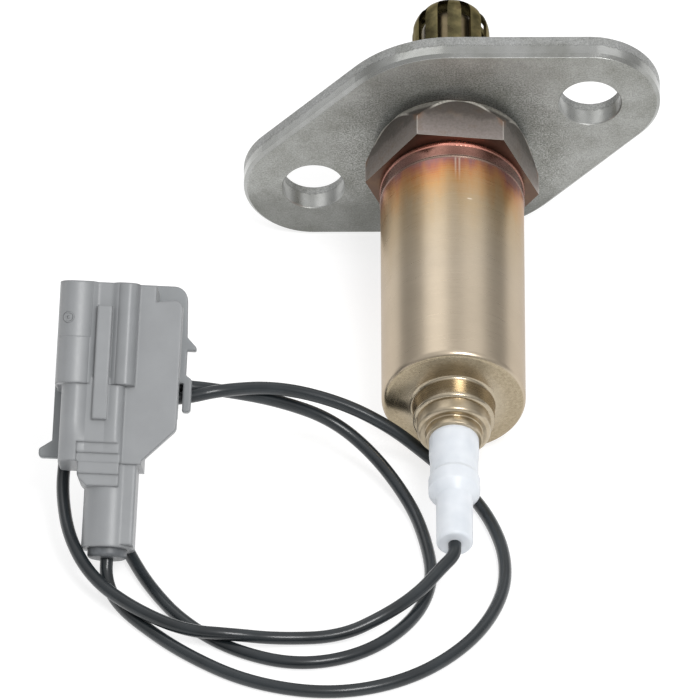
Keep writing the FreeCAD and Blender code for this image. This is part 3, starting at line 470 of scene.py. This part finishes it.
def housing_material():
    """Oxide-dark hexagon with edges brightened by wear and painted highlight, coppery collar and a
    plain spigot.
    """
    shader = Shader("housing_steel_look")
    place = shader.sensor()
    up = shader.axis(place, "Y")
    station = shader.axis(place, "Z")
    radius = shader.radius(shader.axis(place, "X"), up)
    grain = shader.noise(place, 2.6, 4.0, 0.7)
    patches = shader.noise(place, 0.35, 3.0, 0.6)
    base = shader.zones(station, -8.0, 17.0,
                        (-8.0, srgb(128, 120, 108)),
                        (1.0, srgb(116, 110, 105)),
                        # The flats grow lighter towards the end face: a painted reflection of the
                        # darker flange
                        (2.0, srgb(132, 124, 120)),
                        (HEX_HEIGHT - 0.25, srgb(168, 158, 154)),
                        (HEX_HEIGHT - 0.025, srgb(80, 70, 58)),
                        (HEX_HEIGHT + 0.025, srgb(80, 70, 58)),
                        # The collar's bead: its coppery tint brightened as a painted highlight
                        (HEX_HEIGHT + 0.2, srgb(214, 142, 126)),
                        (HEX_HEIGHT + 1.0, srgb(234, 160, 142)),
                        (HEX_HEIGHT + 1.275, srgb(150, 108, 96)),
                        (COLLAR_END - 0.675, srgb(132, 94, 84)),
                        (COLLAR_END - 0.4, srgb(158, 138, 126)),
                        (COLLAR_END, srgb(140, 116, 104)))

    # The collar's sides are darkened with painted shade, and only the hexagon is grainy
    collar_sides_painted_shade = shader.times(shader.fade(up, 8.4, 10.2, 0.62),
                                shader.span(station, HEX_HEIGHT + 0.05, HEX_HEIGHT + 0.15))
    darkened = shader.mix(collar_sides_painted_shade, base, srgb(118, 88, 82))
    on_hexagon = shader.span(station, HEX_HEIGHT - 0.03, HEX_HEIGHT + 0.01, 1.0, 0.1)
    specks = shader.times(shader.span(grain, 0.3, 0.75, 0.0, 0.3), on_hexagon)
    speckled = shader.mix(specks, darkened, srgb(98, 88, 82))
    stained = shader.mix(shader.span(patches, 0.5, 0.75, 0.0, 0.3), speckled, srgb(138, 112, 84))
    # Painted reflection of the flange: the hexagon darker towards the flange
    wavy_station = shader.plus(station, shader.span(patches, 0.3, 0.7, -0.7, 0.7))
    painted_flange_reflection = shader.mix(shader.fade(wavy_station, 3.8, 5.0, 0.42), stained, srgb(66, 60, 56))

    # The hexagon's chamfer is straw at the corners, and its edges are brightened by wear and
    # painted highlight
    depth = depth_in_cone(shader, radius, station)
    at_corner = shader.times(shader.span(radius, 12.1, 12.6), shader.fade(station, 5.6, 6.4))
    straw = shader.times(shader.fade(depth, 0.1, 0.7, 0.45), at_corner)
    tinted = shader.mix(straw, painted_flange_reflection, srgb(170, 124, 90))
    worn_and_highlighted = shader.times(hexagon_wear_and_highlight(shader, radius, station, depth),
                        shader.span(grain, 0.35, 0.6, 0.65, 1.0))
    shader.color(shader.mix(worn_and_highlighted, tinted, srgb(224, 219, 212)))
    shader.set("Metallic", 0.95)
    rough = shader.span(grain, 0.3, 0.7, 0.30, 0.42)
    collar_gloss = shader.span(station, HEX_HEIGHT + 0.01, HEX_HEIGHT + 0.07, 0.0, 0.09)
    shader.rough(shader.minus(rough, collar_gloss))
    shader.bump(shader.times(grain, on_hexagon), 0.08, 0.00005)
    return shader.material


def sleeve_material():
    """Straw-tinted satin steel."""
    shader = Shader("sleeve_steel_look")
    clouds = shader.noise(shader.sensor(), 0.5, 3.0, 0.6)
    shader.color(shader.ramp(clouds, (0.3, srgb(168, 155, 132)), (0.7, srgb(191, 178, 156))))
    shader.set("Metallic", 1.0)
    shader.rough(0.3)
    return shader.material


def bush_material():
    """Smooth white fluoropolymer."""
    shader = Shader("bush_plastic_look")
    clouds = shader.noise(shader.sensor(), 0.3, 2.0)
    shader.color(shader.ramp(clouds, (0.3, srgb(210, 215, 221)), (0.7, srgb(221, 225, 230))))
    shader.rough(0.38)
    shader.set("Subsurface Weight", 0.25)
    shader.set("Subsurface Radius", (0.002, 0.002, 0.002))
    shader.set("Subsurface Scale", 0.6)
    return shader.material


def tip_material():
    """Heat-tinted olive and brown steel."""
    shader = Shader("tip_steel_look")
    clouds = shader.noise(shader.sensor(), 0.3, 4.0, 0.65)
    shader.color(shader.ramp(clouds, (0.25, srgb(70, 62, 46)), (0.45, srgb(96, 90, 64)),
                             (0.6, srgb(128, 118, 84)), (0.8, srgb(92, 76, 56))))
    shader.set("Metallic", 1.0)
    shader.set("Specular Tint", (0.6, 0.57, 0.5, 1.0))
    shader.rough(shader.span(clouds, 0.3, 0.7, 0.26, 0.38))
    return shader.material


def plain_metal(name, color):
    shader = Shader(name)
    clouds = shader.noise(shader.sensor(), 1.2, 3.0)
    darker = tuple(part * 0.8 for part in color)
    shader.color(shader.ramp(clouds, (0.3, darker), (0.7, color)))
    shader.set("Metallic", 1.0)
    shader.rough(0.35)
    return shader.material


def plain_ceramic(name, color):
    shader = Shader(name)
    clouds = shader.noise(shader.sensor(), 1.6, 4.0)
    darker = tuple(part * 0.92 for part in color)
    shader.color(shader.ramp(clouds, (0.3, darker), (0.7, color)))
    shader.rough(0.6)
    return shader.material


def connector_relief(shader, place, surface):
    """A small ring with a dot, a faint line and crowned columns on the connector's front."""
    ring_across = -7.1
    ring_along = 32.9
    ring_radius = 0.72
    across = shader.axis(place, "X")
    along = shader.axis(place, "Z")
    front = shader.fade(shader.axis(place, "Y"), -2.6, -2.2)

    # The marks of the mould
    beside = shader.minus(across, ring_across)
    from_dot = shader.radius(beside, shader.minus(along, ring_along))
    ring = shader.fade(shader.apart(from_dot, ring_radius), 0.05, 0.16)
    dot = shader.fade(from_dot, 0.14, 0.26)
    line = shader.times(shader.span(along, 30.1, 30.25, 0.0, 0.5), shader.fade(beside, 3.2, 3.4))
    height = shader.times(shader.plus(shader.most(ring, dot), line), front)
    surface = shader.bump(height, 1.0, 0.00016, surface)

    # The columns' crowns: each has its middle, half its width, its height in metres and
    # the part of the length that it takes
    whole = shader.span(along, 12.0, 18.0)
    hood = shader.span(along, HOOD_START - 0.02, HOOD_START + 0.02)
    body = shader.times(whole, shader.fade(along, HOOD_START - 0.1, HOOD_START))
    columns = ((-6.3, 2.4, 0.0007, whole), (1.45, 1.45, 0.0005, hood), (0.2, 1.3, 0.0002, body))
    for middle, half_width, crown_height, stretch in columns:
        aside = shader.math("DIVIDE", shader.minus(across, middle), half_width)
        crown = shader.most(shader.minus(1.0, shader.times(aside, aside)), 0.0)
        bulge = shader.times(shader.times(crown, stretch), front)
        surface = shader.bump(bulge, 1.0, crown_height, surface)
    return surface


def moulded_material(name, color, relief=False):
    """Fine-grained moulded plastic with softly rounded edges."""
    shader = Shader(name)
    place = shader.connector()
    grain = shader.noise(place, 7.0, 3.0, 0.6)
    clouds = shader.noise(place, 0.22, 3.0, 0.55)
    darker = tuple(part * 0.93 for part in color)
    shader.color(shader.ramp(clouds, (0.35, darker), (0.65, color)))
    shader.rough(shader.span(grain, 0.3, 0.7, 0.33, 0.43))
    surface = shader.rounded(0.0005)
    if relief:
        surface = connector_relief(shader, place, surface)
    shader.bump(grain, 0.06, 0.00004, surface)
    return shader.material


def wire_material():
    """Blue-black insulation with a soft gloss."""
    shader = Shader("wire_jacket_look")
    clouds = shader.noise(shader.whole(), 160.0, 3.0)
    shader.color(shader.ramp(clouds, (0.3, srgb(23, 28, 31)), (0.7, srgb(36, 42, 46))))
    shader.set("Specular IOR Level", 0.25)
    shader.rough(shader.span(clouds, 0.3, 0.7, 0.36, 0.44))
    shader.set("Coat Weight", 0.55)
    shader.set("Coat Roughness", 0.2)
    return shader.material


def seal_material():
    """Dark grey rubber."""
    shader = Shader("seal_rubber_look")
    clouds = shader.noise(shader.connector(), 1.0, 3.0)
    shader.color(shader.ramp(clouds, (0.3, srgb(84, 87, 90)), (0.7, srgb(104, 107, 110))))
    shader.rough(0.42)
    return shader.material


LOOKS = {
    "flange": flange_material(),
    "housing": housing_material(),
    "outer_cover": cover_material(),
    "neck_sleeve": sleeve_material(),
    "lead_bush": bush_material(),
    "protective_cover": tip_material(),
    "inner_cover": plain_metal("inner_tip_look", srgb(120, 108, 84)),
    "sensing_element": plain_ceramic("element_look", srgb(232, 229, 218)),
    "seat_washer": plain_metal("washer_look", srgb(196, 122, 86)),
    "talc_ring": plain_ceramic("talc_look", srgb(214, 214, 208)),
    "ceramic_ring": plain_ceramic("ring_ceramic_look", srgb(236, 230, 220)),
    "pressure_ring": plain_metal("ring_steel_look", srgb(176, 176, 174)),
    "inner_contact": plain_metal("contact_look", srgb(200, 198, 190)),
    "contact_rod": plain_metal("rod_look", srgb(196, 196, 194)),
    "crimp_sleeve": plain_metal("crimp_look", srgb(190, 188, 182)),
    "support_tube": plain_ceramic("support_look", srgb(230, 226, 216)),
    "disc_spring": plain_metal("spring_look", srgb(160, 160, 160)),
    "lead_wire": wire_material(),
    "wire_seal": seal_material(),
    "connector_housing": moulded_material("connector_look", srgb(140, 142, 144), relief=True),
    "connector_terminal": plain_metal("terminal_look", srgb(214, 200, 150)),
    "rear_holder": moulded_material("holder_look", srgb(138, 141, 143)),
}
for name, look in LOOKS.items():
    for slot in nodes[name].material_slots:
        slot.material = look


# Lead

def smooth_curve(name, points, radius):
    """A smooth round wire along the points, which are its spline's control points."""
    data = bpy.data.curves.new(name, "CURVE")
    data.dimensions = "3D"
    data.resolution_u = 12
    data.bevel_depth = radius
    data.bevel_resolution = 6
    data.use_fill_caps = True
    spline = data.splines.new("NURBS")
    spline.points.add(len(points) - 1)
    for control, point in zip(spline.points, points):
        control.co = (*point, 1.0)
    spline.order_u = 3
    spline.use_endpoint_u = True
    made = bpy.data.objects.new(name, data)
    scene.collection.objects.link(made)
    return made


def make_lead():
    """The lead from inside the bush, along the route and into the connector."""
    inside_bush = 4.0
    inside_connector = 2.0
    bush_mouth = sensor_point(BUSH_END)
    points = [
        sensor_point(BUSH_END - inside_bush),
        bush_mouth,
        sensor_point(BUSH_END + LEAD_START_RUN),
    ]
    points += [Vector(point) * MM for point in ROUTE]
    points += [
        connector_point(-SEAL_PROUD - LEAD_END_RUN),
        connector_point(-SEAL_PROUD),
        connector_point(inside_connector),
    ]
    lead = smooth_curve("lead", points, WIRE_RADIUS * MM)
    lead.data.materials.append(LOOKS["lead_wire"])
    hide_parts("lead_wire")
    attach(lead, "root")


# Stage, camera and light

def make_floor():
    """A wide floor that glows a little, so that it stays near white in the shade."""
    half = 6.0
    mesh = bpy.data.meshes.new("floor")
    corners = [(-half, -half, 0), (half, -half, 0), (half, half, 0), (-half, half, 0)]
    mesh.from_pydata(corners, [], [(0, 1, 2, 3)])
    floor = bpy.data.objects.new("floor", mesh)
    scene.collection.objects.link(floor)
    shader = Shader("floor_look")
    shader.color((0.38, 0.38, 0.38))
    shader.set("Emission Color", (1.0, 1.0, 1.0, 1.0))
    shader.set("Emission Strength", 0.74)
    shader.rough(0.9)
    shader.set("Specular IOR Level", 0.0)
    floor.data.materials.append(shader.material)


def make_camera():
    """A long lens at the photograph's angle and scale."""
    image_width = 700
    pixels_per_mm = 6.89
    elevation = math.radians(37.8)
    turn = math.radians(-0.2)
    target = Vector((-14.95, -9.15, 8.0)) * MM
    data = bpy.data.cameras.new("camera")
    data.lens = 1650.0
    data.sensor_width = 36.0
    data.clip_end = 20.0
    distance = image_width / pixels_per_mm * MM * data.lens / data.sensor_width
    level = Vector((math.sin(turn), -math.cos(turn), 0)) * math.cos(elevation)
    towards = level + Vector((0, 0, math.sin(elevation)))
    camera = bpy.data.objects.new("camera", data)
    camera.location = target + towards * distance
    camera.rotation_euler = (-towards).to_track_quat("-Z", "Y").to_euler()
    scene.collection.objects.link(camera)
    scene.camera = camera


def make_world():
    """A pale studio room: white at the floor's far edge, dimmer walls, a bright ceiling."""
    levels = ((0.0, 1.15), (0.05, 1.15), (0.08, 0.52), (0.3, 0.45), (0.56, 0.72),
              (0.73, 0.86), (0.86, 0.95), (1.0, 1.25))
    world = bpy.data.worlds.new("studio")
    scene.world = world
    world.use_nodes = True
    tree = world.node_tree
    direction = tree.nodes.new("ShaderNodeTexCoord").outputs["Generated"]
    parts = tree.nodes.new("ShaderNodeSeparateXYZ")
    tree.links.new(direction, parts.inputs[0])
    shade = tree.nodes.new("ShaderNodeValToRGB")
    fill_band(shade.color_ramp, [(height, (level, level, level)) for height, level in levels])
    tree.links.new(parts.outputs["Z"], shade.inputs["Fac"])
    background = tree.nodes["Background"]
    tree.links.new(shade.outputs["Color"], background.inputs["Color"])
    background.inputs["Strength"].default_value = 0.88


def make_light(name, place, size, power):
    """A square soft box that faces the sensor."""
    aim = Vector((0, 0, 0.01))
    data = bpy.data.lights.new(name, "AREA")
    data.shape = "SQUARE"
    data.size = size
    data.energy = power
    light = bpy.data.objects.new(name, data)
    light.location = place
    light.rotation_euler = (aim - Vector(place)).to_track_quat("-Z", "Y").to_euler()
    scene.collection.objects.link(light)


make_lead()
make_floor()
make_camera()
make_world()
make_light("left back", (-0.36, 0.60, 0.80), 0.45, 0.62)
make_light("right back", (0.44, 0.62, 0.78), 0.45, 0.32)
make_light("front", (0.28, -0.66, 0.92), 0.36, 6.5)
scene.view_settings.view_transform = "Standard"
